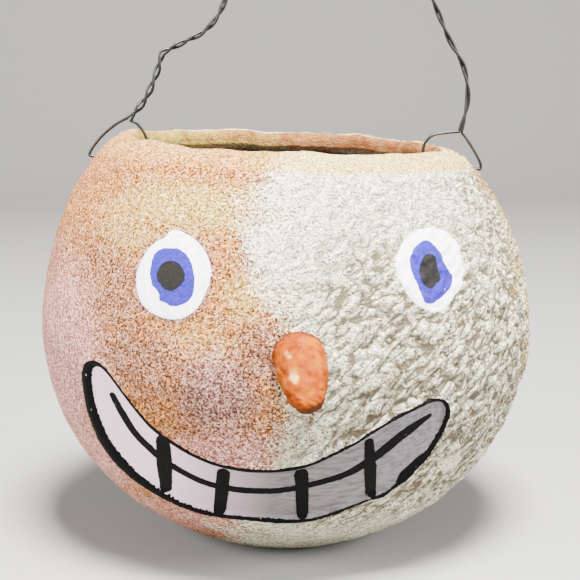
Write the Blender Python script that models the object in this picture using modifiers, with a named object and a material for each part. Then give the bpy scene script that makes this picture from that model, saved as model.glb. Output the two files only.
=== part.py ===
"""Snowman-head treat bucket: a hollow pulp head, open at the top, with a twisted wire bail.

The head stands on its flat base at the origin, +Z up, and its face looks along -Y.
Left and right are the viewer's: left is -X. Lengths below are in millimetres and become
metres through MM.
"""
import math

import bmesh
import bpy
import numpy
from mathutils import Matrix, Vector

MM = 0.001
PART_NAME = "snowman_head_bucket"

# Head: outer profile as (radius, height), from the top of the lip down to the flat base.
HEAD_HEIGHT = 119.5
OUTER_STATIONS = (
    (48.0, HEAD_HEIGHT), (51.4, 118.5), (55.2, 115.3), (59.8, 109.6), (66.6, 98.0), (72.2, 80.0),
    (73.9, 61.0), (69.8, 42.0), (62.8, 28.0), (52.8, 16.0), (42.0, 8.0), (34.0, 3.6), (27.0, 0.7),
    (24.0, 0.0),
)
WALL = 6.0                # thickness of the pulp wall
FLOOR = 7.0               # thickness at the centre of the base
OPENING_RADIUS = 44.4     # the cut mouth of the pot
LIP_BAND_LOW = 114.6      # lowest edge of the straight band inside the lip
TURN_STEPS = 60           # facets round the head
RIM_TILT = 2.6            # degrees: the rim is high on the left
HAND_LUMP = 0.006         # hand-formed unevenness, as a share of the radius

# Wire holes and bail.
HOLE_HEIGHT = 112.7
HOLE_RADIUS = 1.2
WIRE_DIAMETER = 0.86
TWIST_RADIUS = 0.53       # from the middle of the twisted pair to the middle of a strand
TWISTS = 11               # whole turns from knot to knot
TWIST_TIGHTENING = 0.30   # how much closer the turns lie at the left end than at the right
POINTS_PER_TWIST = 10
HOLE_MIDDLE = 53.0        # where the two strands meet inside each hole
STRAND_GAP = 0.3          # between two solids that touch on the real object

# The bail's centre line, knot to knot, as (x, z): hand-bent, so it follows no formula.
BAIL_ROUTE = (
    (-47.0, 125.9), (-42.2, 131.6), (-39.0, 138.4), (-36.6, 144.4), (-28.5, 149.8), (-19.5, 160.5),
    (-11.0, 175.0), (1.0, 187.0), (14.0, 191.5), (27.0, 187.5), (37.0, 175.5), (43.8, 161.0),
    (48.8, 149.8), (53.6, 141.0), (55.0, 131.5), (52.9, 121.6),
)
# The opened end loops as (x, z): outside the wall, and inside the mouth.
LEFT_OUTER_LOOP = ((-51.3, 124.2), (-55.9, 119.8), (-58.8, 117.2), (-59.9, 115.6), (-59.1, 115.1))
LEFT_INNER_LOOP = ((-44.6, 124.6), (-42.6, 122.0), (-41.5, 119.0), (-41.3, 116.2), (-42.6, 114.6))
RIGHT_OUTER_LOOP = ((55.7, 118.4), (58.4, 114.6), (60.1, 111.9), (60.0, 110.5), (58.7, 110.3))
RIGHT_INNER_LOOP = ((48.6, 121.4), (44.4, 120.6), (42.0, 118.0), (41.5, 114.4), (42.6, 111.2))

# Nose: route points as (x, y, z, radius), from inside the wall to the tip.
NOSE_ROUTE = (
    (-2.3, -66.0, 71.2, 6.6), (-2.2, -73.5, 69.4, 6.9), (-1.9, -80.0, 65.9, 6.4),
    (-1.2, -85.2, 61.3, 5.0), (-0.8, -87.8, 58.6, 3.2), (-0.6, -88.7, 57.5, 1.2),
)
NOSE_RESOLUTION = 4       # spans between route points

# Painted face, laid out on the front view as (x, z).
PAINT_GAP = 0.3
PAINT_THICKNESS = 0.4
EYE_CENTRES = {"left": (-34.6, 88.7), "right": (33.9, 89.0)}
EYE_WHITE_SIZE = (9.8, 11.1)      # half width and half height
IRIS_SIZE = {"left": (5.7, 7.3), "right": (6.1, 8.0)}
PUPIL_SIZE = {"left": (3.5, 3.7), "right": (2.9, 4.2)}
EYE_SEGMENTS = 28
MOUTH_DEPTH = 1.3         # the grin is pressed in this far
MOUTH_UPPER = (
    (-54.0, 61.5), (-48.0, 54.6), (-41.5, 47.0), (-33.0, 41.6), (-24.0, 37.9), (-13.0, 36.4),
    (-1.0, 38.0), (11.0, 43.6), (22.0, 49.8), (30.5, 53.4), (36.8, 53.0),
)
MOUTH_LOWER = (
    (-58.3, 56.6), (-57.8, 47.0), (-54.6, 37.4), (-47.4, 29.6), (-37.0, 23.7), (-25.5, 19.6),
    (-13.0, 18.8), (1.0, 18.6), (12.5, 22.6), (25.0, 27.4), (32.5, 35.6), (38.6, 46.8),
)
MOUTH_SPANS = 26
OUTLINE_SHARE = 0.12      # the outline's width, as a share of the grin's height
OUTLINE_END = 0.03        # and as a share of its length, at both ends
BITE_WIDTH = 2.2
BITE_LEVEL = 0.55         # height of the bite line in the grin, 0 below and 1 above
# Tooth bars as (x above, z above, x below, z below, width).
TOOTH_BARS = (
    (-38.9, 43.2, -37.9, 27.0, 3.8), (-22.5, 35.4, -23.2, 21.3, 3.4),
    (-1.6, 36.0, -0.2, 21.2, 3.8), (16.9, 44.2, 18.7, 27.0, 2.7),
)


def spline(points, spans):
    """Smooth curve through the points, with so many spans between neighbours."""
    knots = [Vector(p) for p in points]
    knots = [2 * knots[0] - knots[1]] + knots + [2 * knots[-1] - knots[-2]]
    curve = []
    for i in range(1, len(knots) - 2):
        before, here, there, after = knots[i - 1:i + 3]
        for step in range(spans):
            t = step / spans
            curve.append(0.5 * (
                2 * here + (there - before) * t
                + (2 * before - 5 * here + 4 * there - after) * t ** 2
                + (3 * here - before - 3 * there + after) * t ** 3))
    curve.append(knots[-2])
    return curve


def resample(curve, count):
    """The same curve with evenly spaced points."""
    lengths = [0.0]
    for a, b in zip(curve, curve[1:]):
        lengths.append(lengths[-1] + (b - a).length)
    stops = numpy.linspace(0.0, lengths[-1], count)
    columns = [numpy.interp(stops, lengths, [p[k] for p in curve]) for k in range(len(curve[0]))]
    return [Vector(values) for values in zip(*columns)]


OUTER_PROFILE = spline(OUTER_STATIONS, 2)


def outer_radius(height):
    """Radius of the round head at a height, before it is hand-formed."""
    heights = [p[1] for p in reversed(OUTER_PROFILE)]
    radii = [p[0] for p in reversed(OUTER_PROFILE)]
    return float(numpy.interp(height, heights, radii))


def skin_normal(height):
    """Outward direction of the round head's skin at a height, as (radial, up)."""
    step = 1.5
    slope = (outer_radius(height + step) - outer_radius(height - step)) / (2 * step)
    return Vector((1.0, -slope)).normalized()


def tilt_drop(x, height):
    """How far the tilt lowers a point of the round head: all of it at the rim, none at the base."""
    rise = min(max(height / HEAD_HEIGHT, 0.0), 1.1)
    return math.tan(math.radians(RIM_TILT)) * x * rise ** 2


def hand_form(point):
    """Moves a point of the round head to the hand-formed one: soft lumps and a tilted rim."""
    x, y, z = point
    rise = min(max(z / HEAD_HEIGHT, 0.0), 1.1)
    angle = math.atan2(x, -y)
    lumps = math.sin(2 * angle - 2.2) + 0.6 * math.sin(3 * angle + 1.2 + 2 * rise)
    swell = 1 + HAND_LUMP * lumps * math.sin(math.pi * min(rise, 1.0))
    x, y = x * swell, y * swell
    return Vector((x, y, z - tilt_drop(x, z)))


def face_point(x, z, out):
    """Point of the finished head's front, seen at (x, z), so far outside the skin, in metres."""
    height = z + tilt_drop(x, z)
    radial, up = skin_normal(height)
    radius = outer_radius(height)
    angle = math.asin(x / radius)
    reach = radius + out * radial
    return MM * hand_form((reach * math.sin(angle), -reach * math.cos(angle), height + out * up))


def hinge_height(x):
    """Height of the tilted line through both wire holes."""
    return HOLE_HEIGHT - tilt_drop(x, HOLE_HEIGHT)


def new_collection(name):
    collection = bpy.data.collections.new(name)
    bpy.context.scene.collection.children.link(collection)
    return collection


def add_mesh(collection, name, mesh):
    body = bpy.data.objects.new(name, mesh)
    collection.objects.link(body)
    return body


def finish_material(body, name, colour, roughness, metallic=0.0):
    material = bpy.data.materials.new(name)
    material.use_nodes = True
    shader = material.node_tree.nodes["Principled BSDF"]
    shader.inputs["Base Color"].default_value = (*colour, 1.0)
    shader.inputs["Roughness"].default_value = roughness
    shader.inputs["Metallic"].default_value = metallic
    material.diffuse_color = (*colour, 1.0)
    body.data.materials.clear()
    body.data.materials.append(material)


def smooth(mesh):
    mesh.shade_smooth()
    mesh.set_sharp_from_angle(angle=math.radians(40))


def to_mesh(source, collection, name):
    """Replaces an object by a welded mesh of what its modifiers or its bevel make."""
    bpy.context.view_layer.update()
    depsgraph = bpy.context.evaluated_depsgraph_get()
    mesh = bpy.data.meshes.new_from_object(source.evaluated_get(depsgraph))
    place = source.matrix_world.copy()
    bpy.data.objects.remove(source)
    shape = bmesh.new()
    shape.from_mesh(mesh)
    bmesh.ops.remove_doubles(shape, verts=shape.verts, dist=0.000001)
    shape.to_mesh(mesh)
    shape.free()
    body = add_mesh(collection, name, mesh)
    body.matrix_world = place
    return body


def turned(collection, name, profile):
    """Turns a profile, given as (radius, height), round +Z and hand-forms it."""
    mesh = bpy.data.meshes.new(name + "_profile")
    edges = [(i, i + 1) for i in range(len(profile) - 1)]
    mesh.from_pydata([(p[0] * MM, 0.0, p[1] * MM) for p in profile], edges, [])
    source = add_mesh(collection, name + "_profile", mesh)
    screw = source.modifiers.new("turn", "SCREW")
    screw.steps = screw.render_steps = TURN_STEPS
    screw.use_merge_vertices = True
    screw.merge_threshold = 0.00001
    body = to_mesh(source, collection, name)
    for vertex in body.data.vertices:
        vertex.co = MM * hand_form(vertex.co / MM)
    return body


def cut(body, cutter):
    cutter.hide_render = True
    cutter.display_type = "WIRE"
    boolean = body.modifiers.new("cut_" + cutter.name, "BOOLEAN")
    boolean.operation = "DIFFERENCE"
    boolean.solver = "EXACT"
    boolean.object = cutter


def face_slab(collection, name, edge_a, edge_b, low, high, rows=1, closed=False):
    """A slab that follows the skin between two edges drawn on the front view.

    low and high are its faces' distances outside the skin.
    """
    shape = bmesh.new()
    layers = []
    for out in (low, high):
        grid = []
        for row in range(rows + 1):
            share = row / rows
            points = [a.lerp(b, share) for a, b in zip(edge_a, edge_b)]
            grid.append([shape.verts.new(face_point(p[0], p[1], out)) for p in points])
        layers.append(grid)
    count = len(edge_a)
    spans = [(i, (i + 1) % count) for i in range(count if closed else count - 1)]
    for grid in layers:
        for row in range(rows):
            for i, j in spans:
                shape.faces.new((grid[row][i], grid[row][j], grid[row + 1][j], grid[row + 1][i]))
    inner, outer = layers
    for row in (0, rows):
        for i, j in spans:
            shape.faces.new((inner[row][i], inner[row][j], outer[row][j], outer[row][i]))
    if not closed:
        for column in (0, count - 1):
            for row in range(rows):
                shape.faces.new((inner[row][column], inner[row + 1][column],
                                 outer[row + 1][column], outer[row][column]))
    bmesh.ops.remove_doubles(shape, verts=shape.verts, dist=0.000001)
    bmesh.ops.recalc_face_normals(shape, faces=shape.faces)
    mesh = bpy.data.meshes.new(name)
    shape.to_mesh(mesh)
    shape.free()
    return add_mesh(collection, name, mesh)


def head_profile():
    """Whole section of the pot wall: inside from the floor up, over the lip, and down outside."""
    inside = []
    for point in OUTER_PROFILE:
        if FLOOR - 4 < point[1] < LIP_BAND_LOW:
            normal = skin_normal(point[1])
            inside.append(point - WALL * normal)
    lip = [(OPENING_RADIUS, LIP_BAND_LOW), (OPENING_RADIUS + 0.1, 117.4),
           (OPENING_RADIUS + 1.2, 118.8)]
    floor = [(0.0, FLOOR), (18.0, FLOOR + 0.3)]
    return floor + inside[::-1] + lip + OUTER_PROFILE + [(0.0, 0.0)]


def mouth_edge(points, spread):
    """One edge of the grin, evenly divided, moved outwards by the spread."""
    curve = resample(spline(points, 6), MOUTH_SPANS + 1)
    return [p + Vector((0.0, spread)) for p in curve]


def mouth_place(along, level):
    """Point of the front view inside the grin: along from left to right, level from low to high."""
    place = along * MOUTH_SPANS
    first = min(int(place), MOUTH_SPANS - 1)
    edges = []
    for points in (MOUTH_LOWER, MOUTH_UPPER):
        edge = mouth_edge(points, 0.0)
        edges.append(edge[first].lerp(edge[first + 1], place - first))
    return edges[0].lerp(edges[1], level)


def mouth_loop(end, rim):
    """Closed ring of points inside the grin, so far from its ends and its edges."""
    steps = MOUTH_SPANS
    low = [(end + (1 - 2 * end) * i / steps, rim) for i in range(steps + 1)]
    right = [(1 - end, rim + (1 - 2 * rim) * k / 3) for k in (1, 2)]
    high = [(1 - along, 1 - level) for along, level in low]
    left = [(end, 1 - rim - (1 - 2 * rim) * k / 3) for k in (1, 2)]
    return [mouth_place(along, level) for along, level in low + right + high + left]


def make_mouth_recess(collection):
    lower = mouth_edge(MOUTH_LOWER, -STRAND_GAP)
    upper = mouth_edge(MOUTH_UPPER, STRAND_GAP)
    for edge in (lower, upper):
        edge[0] = edge[0] - Vector((STRAND_GAP, 0.0))
        edge[-1] = edge[-1] + Vector((STRAND_GAP, 0.0))
    return face_slab(collection, "mouth_recess_cutter", lower, upper, -MOUTH_DEPTH, 4.0, rows=4)


def make_wire_holes(collection):
    """One long pin through both walls, which cuts both wire holes."""
    shape = bmesh.new()
    bmesh.ops.create_cone(shape, cap_ends=True, segments=16, radius1=HOLE_RADIUS * MM,
                          radius2=HOLE_RADIUS * MM, depth=30 * MM)
    mesh = bpy.data.meshes.new("wire_hole_cutter")
    shape.to_mesh(mesh)
    shape.free()
    slope = math.atan2(hinge_height(1.0) - hinge_height(0.0), 1.0)
    cutters = []
    for side, x in (("left", -HOLE_MIDDLE), ("right", HOLE_MIDDLE)):
        cutter = add_mesh(collection, "wire_hole_cutter_" + side, mesh)
        cutter.matrix_world = (
            Matrix.Translation(MM * Vector((x, 0.0, hinge_height(x))))
            @ Matrix.Rotation(-slope, 4, "Y") @ Matrix.Rotation(math.radians(90), 4, "Y"))
        cutters.append(cutter)
    return cutters


def make_head_shell(parts, cutters):
    shell = turned(parts, "head_shell", head_profile())
    smooth(shell.data)
    cut(shell, make_mouth_recess(cutters))
    for cutter in make_wire_holes(cutters):
        cut(shell, cutter)
    finish_material(shell, "painted_pulp_cream", (0.78, 0.68, 0.55), 0.9)


def make_carrot_nose(parts, cutters):
    curve = bpy.data.curves.new("nose_route", "CURVE")
    curve.dimensions = "3D"
    curve.bevel_depth = 1.0
    curve.bevel_resolution = 4
    curve.use_fill_caps = True
    route = spline(NOSE_ROUTE, NOSE_RESOLUTION)
    line = curve.splines.new("POLY")
    line.points.add(len(route) - 1)
    for point, place in zip(line.points, route):
        point.co = (place[0] * MM, place[1] * MM, place[2] * MM, 1.0)
        point.radius = place[3] * MM
    source = bpy.data.objects.new("nose_route", curve)
    parts.objects.link(source)
    nose = to_mesh(source, parts, "carrot_nose")
    smooth(nose.data)
    grown = [p + PAINT_GAP * skin_normal(p[1]) for p in OUTER_PROFILE]
    seat = turned(cutters, "nose_seat_cutter",
                  [(0.0, grown[0][1])] + grown + [(0.0, grown[-1][1])])
    cut(nose, seat)
    finish_material(nose, "painted_pulp_orange", (0.83, 0.39, 0.16), 0.75)


def ellipse(centre, size, grow=0.0):
    turns = [2 * math.pi * k / EYE_SEGMENTS for k in range(EYE_SEGMENTS)]
    return [Vector((centre[0] + (size[0] + grow) * math.cos(t),
                    centre[1] + (size[1] + grow) * math.sin(t))) for t in turns]


def make_eye(parts, side):
    """White, iris and pupil of one eye, side by side in one layer of paint."""
    centre = EYE_CENTRES[side]
    low, high = PAINT_GAP, PAINT_GAP + PAINT_THICKNESS
    white = face_slab(parts, "eye_white_" + side, ellipse(centre, EYE_WHITE_SIZE),
                      ellipse(centre, IRIS_SIZE[side], PAINT_GAP), low, high, closed=True)
    finish_material(white, "eye_white_paint_" + side, (0.88, 0.87, 0.88), 0.55)
    iris = face_slab(parts, "iris_" + side, ellipse(centre, IRIS_SIZE[side]),
                     ellipse(centre, PUPIL_SIZE[side], PAINT_GAP), low, high, closed=True)
    finish_material(iris, "iris_paint_" + side, (0.18, 0.20, 0.66), 0.5)
    middle = [Vector(centre)] * EYE_SEGMENTS
    pupil = face_slab(parts, "pupil_" + side, ellipse(centre, PUPIL_SIZE[side]), middle,
                      low, high, closed=True)
    finish_material(pupil, "pupil_paint_" + side, (0.05, 0.045, 0.04), 0.5)


def bar_edges(start, end, width, spans):
    """Both long edges of a straight bar on the front view."""
    start, end = Vector(start), Vector(end)
    across = (end - start).normalized().orthogonal() * (width / 2)
    places = [start.lerp(end, k / spans) for k in range(spans + 1)]
    return [p - across for p in places], [p + across for p in places]


def make_mouth(parts):
    """The grin: a white field and its black outline, then the bite line and the tooth bars."""
    floor = -MOUTH_DEPTH
    black = (0.02, 0.02, 0.02)
    levels = []
    for layer in range(3):
        low = floor + PAINT_GAP + layer * (PAINT_THICKNESS + PAINT_GAP)
        levels.append((low, low + PAINT_THICKNESS))

    share = OUTLINE_SHARE + 0.02
    end = OUTLINE_END + 0.005
    low_edge = [mouth_place(end + (1 - 2 * end) * i / MOUTH_SPANS, share)
                for i in range(MOUTH_SPANS + 1)]
    high_edge = [mouth_place(end + (1 - 2 * end) * i / MOUTH_SPANS, 1 - share)
                 for i in range(MOUTH_SPANS + 1)]
    field = face_slab(parts, "mouth_field", low_edge, high_edge, *levels[0], rows=3)
    finish_material(field, "mouth_white_paint", (0.72, 0.68, 0.70), 0.6)

    outline = face_slab(parts, "mouth_outline", mouth_loop(0.0, 0.0),
                        mouth_loop(OUTLINE_END, OUTLINE_SHARE), *levels[0], closed=True)
    finish_material(outline, "mouth_outline_paint", black, 0.5)

    steps = MOUTH_SPANS
    along = [0.07 + 0.89 * i / steps for i in range(steps + 1)]
    middle = [mouth_place(a, BITE_LEVEL + 0.08 * (2 * a - 1) ** 2) for a in along]
    ahead = [b - a for a, b in zip(middle, middle[1:])]
    across = [v.normalized().orthogonal() * (BITE_WIDTH / 2) for v in ahead + ahead[-1:]]
    bite = face_slab(parts, "bite_line", [p - a for p, a in zip(middle, across)],
                     [p + a for p, a in zip(middle, across)], *levels[1])
    finish_material(bite, "bite_line_paint", black, 0.5)

    for number, (x_top, z_top, x_low, z_low, width) in enumerate(TOOTH_BARS, start=1):
        edges = bar_edges((x_top, z_top), (x_low, z_low), width, 5)
        bar = face_slab(parts, "tooth_bar_%d" % number, *edges, *levels[2])
        finish_material(bar, "tooth_bar_paint_%d" % number, black, 0.5)


def twisted_strand(phase):
    """One strand of the twisted pair, knot to knot, in the front plane and round it."""
    centre = resample(spline(BAIL_ROUTE, 12), TWISTS * POINTS_PER_TWIST + 1)
    strand = []
    for i, place in enumerate(centre):
        ahead = centre[min(i + 1, len(centre) - 1)] - centre[max(i - 1, 0)]
        ahead.normalize()
        outward = Vector((-ahead[1], ahead[0]))
        share = i / (len(centre) - 1)
        turned_share = share + TWIST_TIGHTENING * share * (1 - share)
        angle = 2 * math.pi * TWISTS * turned_share + phase
        side = TWIST_RADIUS * math.cos(angle)
        strand.append(Vector((place[0] + side * outward[0], TWIST_RADIUS * math.sin(angle),
                              place[1] + side * outward[1])))
    return strand


def loop_end(loop, side, clearance):
    """Opened end of a strand, from its knot to the middle of the wire hole."""
    inward = 1 if side == "left" else -1
    entry = loop[-1][0] + inward * (3.0 if abs(loop[-1][0]) > HOLE_MIDDLE else -3.0)
    middle = -inward * HOLE_MIDDLE + clearance
    places = list(loop) + [(entry, hinge_height(entry)), (middle, hinge_height(middle))]
    return [Vector((x, 0.0, z)) for x, z in places]


def make_strand(parts, pivot, name, phase, left_loop, right_loop, clearance):
    """A whole strand: left end loop, twisted length, right end loop."""
    left = loop_end(left_loop, "left", -clearance)
    right = loop_end(right_loop, "right", clearance)
    twist = twisted_strand(phase)
    left = spline(left[::-1] + [twist[0]], 4)[:-1]
    right = spline([twist[-1]] + right, 4)[1:]
    route = left + twist + right
    curve = bpy.data.curves.new(name, "CURVE")
    curve.dimensions = "3D"
    curve.bevel_depth = WIRE_DIAMETER / 2 * MM
    curve.bevel_resolution = 2
    curve.use_fill_caps = True
    line = curve.splines.new("POLY")
    line.points.add(len(route) - 1)
    for point, place in zip(line.points, route):
        point.co = (*(MM * place - pivot.location), 1.0)
    strand = bpy.data.objects.new(name, curve)
    parts.objects.link(strand)
    strand.parent = pivot
    finish_material(strand, name + "_wire", (0.10, 0.09, 0.085), 0.45, metallic=1.0)


def make_bail(parts):
    """Two strands that hang on one pivot, on the line through both wire holes."""
    pivot = bpy.data.objects.new("bail_pivot", None)
    pivot.empty_display_size = 0.01
    pivot.location = (0.0, 0.0, hinge_height(0.0) * MM)
    parts.objects.link(pivot)
    half_gap = STRAND_GAP / 2
    make_strand(parts, pivot, "bail_strand_outer", 0.0, LEFT_OUTER_LOOP, RIGHT_OUTER_LOOP,
                half_gap)
    make_strand(parts, pivot, "bail_strand_inner", math.pi, LEFT_INNER_LOOP, RIGHT_INNER_LOOP,
                -half_gap)


def main():
    for old in list(bpy.data.objects):
        bpy.data.objects.remove(old)
    parts = new_collection(PART_NAME)
    cutters = new_collection("cutters")
    make_head_shell(parts, cutters)
    make_carrot_nose(parts, cutters)
    for side in ("left", "right"):
        make_eye(parts, side)
    make_mouth(parts)
    make_bail(parts)


main()
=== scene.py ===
import math

import bmesh
import bpy
import numpy
from mathutils import Matrix, Vector, noise
from mathutils.bvhtree import BVHTree


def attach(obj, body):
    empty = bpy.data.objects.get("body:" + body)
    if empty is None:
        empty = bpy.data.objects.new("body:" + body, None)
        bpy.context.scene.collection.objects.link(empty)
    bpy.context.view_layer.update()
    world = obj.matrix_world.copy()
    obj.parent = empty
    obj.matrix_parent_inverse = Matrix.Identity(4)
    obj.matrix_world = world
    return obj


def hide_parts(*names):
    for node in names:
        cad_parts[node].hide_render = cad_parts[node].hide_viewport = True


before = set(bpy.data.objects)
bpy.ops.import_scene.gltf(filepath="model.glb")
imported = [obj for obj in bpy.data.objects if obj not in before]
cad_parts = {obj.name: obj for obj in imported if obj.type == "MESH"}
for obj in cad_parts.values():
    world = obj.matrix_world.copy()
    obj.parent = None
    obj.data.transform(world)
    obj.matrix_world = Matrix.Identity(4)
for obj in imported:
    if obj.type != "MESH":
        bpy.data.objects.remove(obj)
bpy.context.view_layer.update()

MM = 0.001

# The head, as the CAD has it: outer profile as (radius, height) from the lip to the base.
HEAD_HEIGHT = 119.5
OUTER_STATIONS = (
    (48.0, HEAD_HEIGHT), (51.4, 118.5), (55.2, 115.3), (59.8, 109.6), (66.6, 98.0), (72.2, 80.0),
    (73.9, 61.0), (69.8, 42.0), (62.8, 28.0), (52.8, 16.0), (42.0, 8.0), (34.0, 3.6), (27.0, 0.7),
    (24.0, 0.0),
)
WALL = 6.0
FLOOR = 7.0
OPENING_RADIUS = 44.4
LIP_BAND_LOW = 114.6
RIM_TILT = 2.6
HAND_LUMP = 0.006
HOLE_HEIGHT = 112.7
HOLE_RADIUS = 1.2
HOLE_MIDDLE = 53.0
DRILL_LENGTH = 26.0

# Fineness of the modelled skin, finest where the crumpled right cheek needs it: the spacing of
# its rows at each height, that of the rows inside, and the turn between its columns, in
# degrees, at each turn from the front.
SKIN_STEPS = ((0.0, 1.6), (6.0, 1.6), (12.0, 0.8), (112.0, 0.8), (116.0, 1.2), (120.0, 1.2))
INSIDE_STEP = 4.0
TURN_STEPS = (
    (-180, 2.2), (-110, 2.2), (-90, 0.85), (-25, 0.85), (-10, 0.6), (105, 0.6), (125, 2.2),
    (180, 2.2),
)
RIM_WAVE = 0.45             # how far the hand-pinched rim rises and falls

# The pressed grin, on the front view as (x, z).
MOUTH_DEPTH = 1.3
LEDGE = 1.5                 # width of the sloping edge of the pressed grin
# The grin's edge: along its low side from the left tip, round the right tip, back along its top.
MOUTH_EDGE = (
    (-59.0, 58.0), (-58.6, 52.0), (-57.2, 45.0), (-54.2, 37.6), (-47.4, 29.8), (-37.4, 23.8),
    (-25.5, 20.0), (-13.0, 19.4), (1.0, 18.9), (12.5, 22.8), (25.0, 28.4), (33.2, 36.2), (38.0, 44.6),
    (39.4, 50.2), (37.6, 53.6), (33.0, 54.2), (22.0, 49.8), (11.0, 43.6), (-1.0, 38.0), (-13.0, 36.4),
    (-24.0, 37.9), (-33.0, 41.6), (-41.5, 47.4), (-48.0, 55.0), (-52.6, 60.8), (-55.6, 62.8),
    (-58.0, 61.6),
)
RIGHT_TIP = (39.4, 50.6)
# Fineness of the grin: spans across and along it, points of its edge for the brush stroke, and
# points of its edge for the pressed shape.
GRIN_ROWS = 40
GRIN_COLUMNS = 280
GRIN_EDGE_POINTS = 960
PRESS_EDGE_POINTS = 200
# The outline's brush stroke, as (share of the way round the edge, width, how far inside it).
OUTLINE_STROKE = (
    (0.00, 2.1, 0.1), (0.04, 1.9, 0.2), (0.09, 2.2, 0.1), (0.14, 1.8, 0.0), (0.18, 0.9, 0.0),
    (0.24, 0.9, -0.1), (0.30, 1.1, -0.1), (0.36, 1.0, -0.1), (0.42, 0.7, -0.1), (0.432, 1.0, 0.1),
    (0.445, 2.4, 0.9), (0.468, 2.0, 0.7), (0.482, 1.1, 0.3), (0.535, 0.8, 0.1), (0.56, 0.9, 0.1),
    (0.585, 1.3, 0.1), (0.61, 0.9, 0.0), (0.66, 0.75, 0.0), (0.74, 1.2, 0.0), (0.79, 1.5, 0.0),
    (0.84, 1.9, 0.2), (0.89, 1.9, 0.2), (0.92, 1.2, 0.0), (0.95, 1.0, 0.0), (0.975, 1.8, 0.2),
    (1.00, 2.1, 0.1),
)
DRY_STRETCH = (0.05, 0.22)  # share of the outline that was painted with a nearly dry brush
BITE_LINE = (
    (-52.6, 54.8), (-50.1, 49.7), (-46.7, 44.0), (-42.9, 40.2), (-39.7, 37.3), (-34.6, 34.0),
    (-28.0, 30.7), (-20.0, 29.1), (-10.4, 28.9), (-2.9, 30.1), (9.6, 33.5), (16.1, 37.0),
    (21.0, 40.5), (25.1, 43.7), (29.9, 46.9), (34.9, 49.8),
)
BITE_WIDTHS = (
    (0.0, 1.6), (0.07, 2.1), (0.19, 2.1), (0.3, 1.8), (0.45, 2.0), (0.6, 1.7), (0.72, 2.0),
    (0.85, 2.8), (0.93, 2.6), (1.0, 1.0),
)
# Tooth bars as (x above, z above, x below, z below, widths above, halfway and below).
TOOTH_BARS = (
    (-38.7, 44.6, -37.9, 25.0, (3.6, 4.2, 3.2)), (-22.3, 36.0, -23.2, 19.6, (3.4, 3.5, 3.3)),
    (-1.6, 36.6, -0.2, 19.2, (3.7, 3.4, 3.2)), (16.7, 44.9, 18.7, 25.6, (2.5, 3.4, 3.0)),
)

# The skin: how far the wrinkles slant up to the right, where the brown stain ends on the front
# as (z, x), and its darker, paler and pinker parts as (tone, x, z, half width, half height, share).
SLANT = 0.66
SKIN_MASKS = (
    "stain", "crumple", "inside", "lip", "wash", "calm", "deep", "pale", "blush_and_painted_light", "crevice",
)
STAIN_EDGE = (
    (20, -17), (43, -9), (58, -6), (76, -6), (84, -10), (92, -13), (102, -15), (109, -14), (114, -7),
    (119, -1),
)
SKIN_TONES = (
    ("deep", -53, 84, 13, 16, 0.45), ("deep", -44, 66, 16, 11, 0.5), ("deep", -24, 58, 12, 13, 0.9),
    # The darker patch at (-20, 42), just above the grin, is darker stain and painted shade.
    ("deep", -13, 70, 9, 10, 0.55), ("deep", -20, 42, 12, 7, 0.4), ("deep", -22, 106, 8, 5, 0.6),
    ("deep", -12, 96, 6, 8, 0.6), ("pale", -30, 106, 20, 7, 0.8), ("pale", -47, 101, 10, 9, 0.5),
    ("pale", -27, 73, 10, 6, 0.35), ("pale", -17, 84, 6, 7, 0.6), ("pale", 70, 84, 16, 34, 1.0),
    # Pink patches: a pink tone, brightened as painted light; the one at (-66, 60) is on the left
    # edge.
    ("blush_and_painted_light", -66, 60, 12, 32, 0.7), ("blush_and_painted_light", -60, 30, 16, 20, 0.55), ("blush_and_painted_light", -25, 66, 8, 8, 0.2),
    ("blush_and_painted_light", -20, 40, 20, 9, 0.5), ("blush_and_painted_light", -40, 14, 26, 10, 0.45),
)

# The painted eyes, each outline drawn on the front view as (x, z).
EYE_WHITES = {
    "left": ((-33.4, 100.1), (-27.6, 96.7), (-25.0, 89.9), (-28.6, 81.0), (-34.8, 77.6),
             (-42.4, 80.2), (-44.3, 87.4), (-41.2, 94.5), (-37.0, 97.9)),
    "right": ((34.2, 99.9), (38.4, 98.7), (42.2, 95.4), (44.2, 88.8), (42.6, 83.2), (36.4, 78.3),
              (32.0, 79.2), (27.8, 82.3), (23.8, 90.1), (26.0, 96.6), (29.8, 99.2)),
}
IRISES = {
    "left": ((-35.7, 95.5), (-32.6, 95.3), (-30.2, 92.8), (-29.2, 88.5), (-29.6, 84.6),
             (-31.2, 82.3), (-34.7, 80.9), (-36.9, 81.7), (-38.3, 82.3), (-38.5, 84.2),
             (-40.0, 86.0), (-40.6, 89.0), (-39.6, 93.2), (-37.8, 95.0)),
    "right": ((32.5, 96.8), (34.6, 96.0), (37.1, 93.0), (38.7, 89.6), (40.6, 87.0), (40.2, 84.8),
              (38.4, 82.8), (35.6, 81.2), (33.4, 80.5), (31.6, 81.3), (29.8, 85.4), (28.1, 89.2),
              (27.9, 92.8), (29.6, 95.5)),
}
PUPILS = {
    "left": ((-35.2, 92.3), (-33.2, 91.9), (-31.7, 89.6), (-31.9, 87.4), (-33.8, 85.5),
             (-35.4, 84.8), (-37.5, 85.7), (-38.8, 88.3), (-37.6, 91.2)),
    "right": ((33.7, 93.3), (35.5, 92.0), (36.1, 89.0), (36.8, 86.6), (35.6, 85.7), (33.8, 84.6),
              (31.8, 85.4), (30.5, 88.2), (31.1, 91.8), (32.4, 93.0)),
}

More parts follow.
